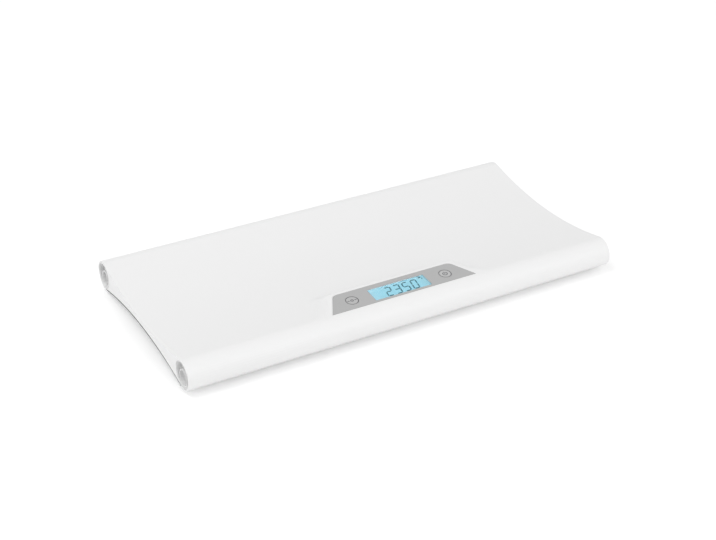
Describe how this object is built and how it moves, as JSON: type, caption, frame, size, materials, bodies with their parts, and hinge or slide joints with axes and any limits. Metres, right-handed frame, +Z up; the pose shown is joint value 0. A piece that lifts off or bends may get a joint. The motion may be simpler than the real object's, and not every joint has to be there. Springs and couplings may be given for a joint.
{
  "type": "digital baby weighing scale",
  "caption": "Long white dished weighing tray between two round rolls, on weighing feet, with a grey console that holds a lit display and round press buttons.",
  "frame": {"origin": "centre of the footprint on the floor, under the middle of the tray", "axes": "+X along the length towards the power button's end, +Y towards the rear, +Z up"},
  "size_m": [0.56, 0.269, 0.0429],
  "materials": {
    "white_shell": "satin gloss",
    "plug_grey": "satin",
    "panel_grey": "satin",
    "button_grey": "satin",
    "clear_window": "clear, polished",
    "display_glass": "clear",
    "diffuser": "translucent",
    "inner_plastic": "matte",
    "board": "lacquered",
    "switch_black": "matte",
    "rubber": "matte",
    "steel": "brushed",
    "battery_can": "printed wrap",
    "cable": "satin"
  },
  "bodies": {
    "housing": {"tray": "white_shell", "base_cover": "white_shell", "end_plug_front_left": "plug_grey", "end_plug_front_right": "plug_grey", "end_plug_rear_left": "plug_grey", "end_plug_rear_right": "plug_grey", "foot_front_left": "inner_plastic", "foot_front_right": "inner_plastic", "foot_rear_left": "inner_plastic", "foot_rear_right": "inner_plastic", "foot_pad_front_left": "rubber", "foot_pad_front_right": "rubber", "foot_pad_rear_left": "rubber", "foot_pad_rear_right": "rubber", "load_cell_front_left": "steel", "load_cell_front_right": "steel", "load_cell_rear_left": "steel", "load_cell_rear_right": "steel", "load_cell_holder_front_left": "inner_plastic", "load_cell_holder_front_right": "inner_plastic", "load_cell_holder_rear_left": "inner_plastic", "load_cell_holder_rear_right": "inner_plastic", "cell_cable_front_left": "cable", "cell_cable_front_right": "cable", "cell_cable_rear_left": "cable", "cell_cable_rear_right": "cable", "display_panel": "panel_grey", "display_window": "clear_window", "display_cell": "display_glass", "backlight": "diffuser", "display_cradle": "inner_plastic", "display_connector": "rubber", "circuit_board": "board", "switch_power": "switch_black", "switch_zero": "switch_black", "battery_1": "battery_can", "battery_2": "battery_can", "battery_3": "battery_can", "battery_contact_positive": "steel", "battery_contact_link_left": "steel", "battery_contact_link_right": "steel", "battery_contact_negative": "steel", "battery_lead_left": "cable", "battery_lead_right": "cable", "case_screw_1": "steel", "case_screw_2": "steel", "case_screw_3": "steel", "case_screw_4": "steel", "case_screw_5": "steel", "case_screw_6": "steel", "case_screw_7": "steel", "case_screw_8": "steel"},
    "button_power": {"button_power": "button_grey", "switch_plunger_power": "inner_plastic"},
    "button_zero": {"button_zero": "button_grey", "switch_plunger_zero": "inner_plastic"},
    "battery_door": {"battery_door": "white_shell"}
  },
  "joints": [
    {"name": "press_zero", "type": "slide", "parent": "housing", "child": "button_zero", "axis": [0, 0.0667, -0.9978], "range_m": [0, 0.0005], "stiffness_N_per_m": 3200},
    {"name": "press_power", "type": "slide", "parent": "housing", "child": "button_power", "axis": [0, 0.0667, -0.9978], "range_m": [0, 0.0005], "stiffness_N_per_m": 3200},
    {"name": "battery_door_hinge", "type": "hinge", "parent": "housing", "child": "battery_door", "pos_m": [0, 0.06505, 0.01485], "axis": [-1, 0, 0], "range_deg": [0, 90]}
  ]
}
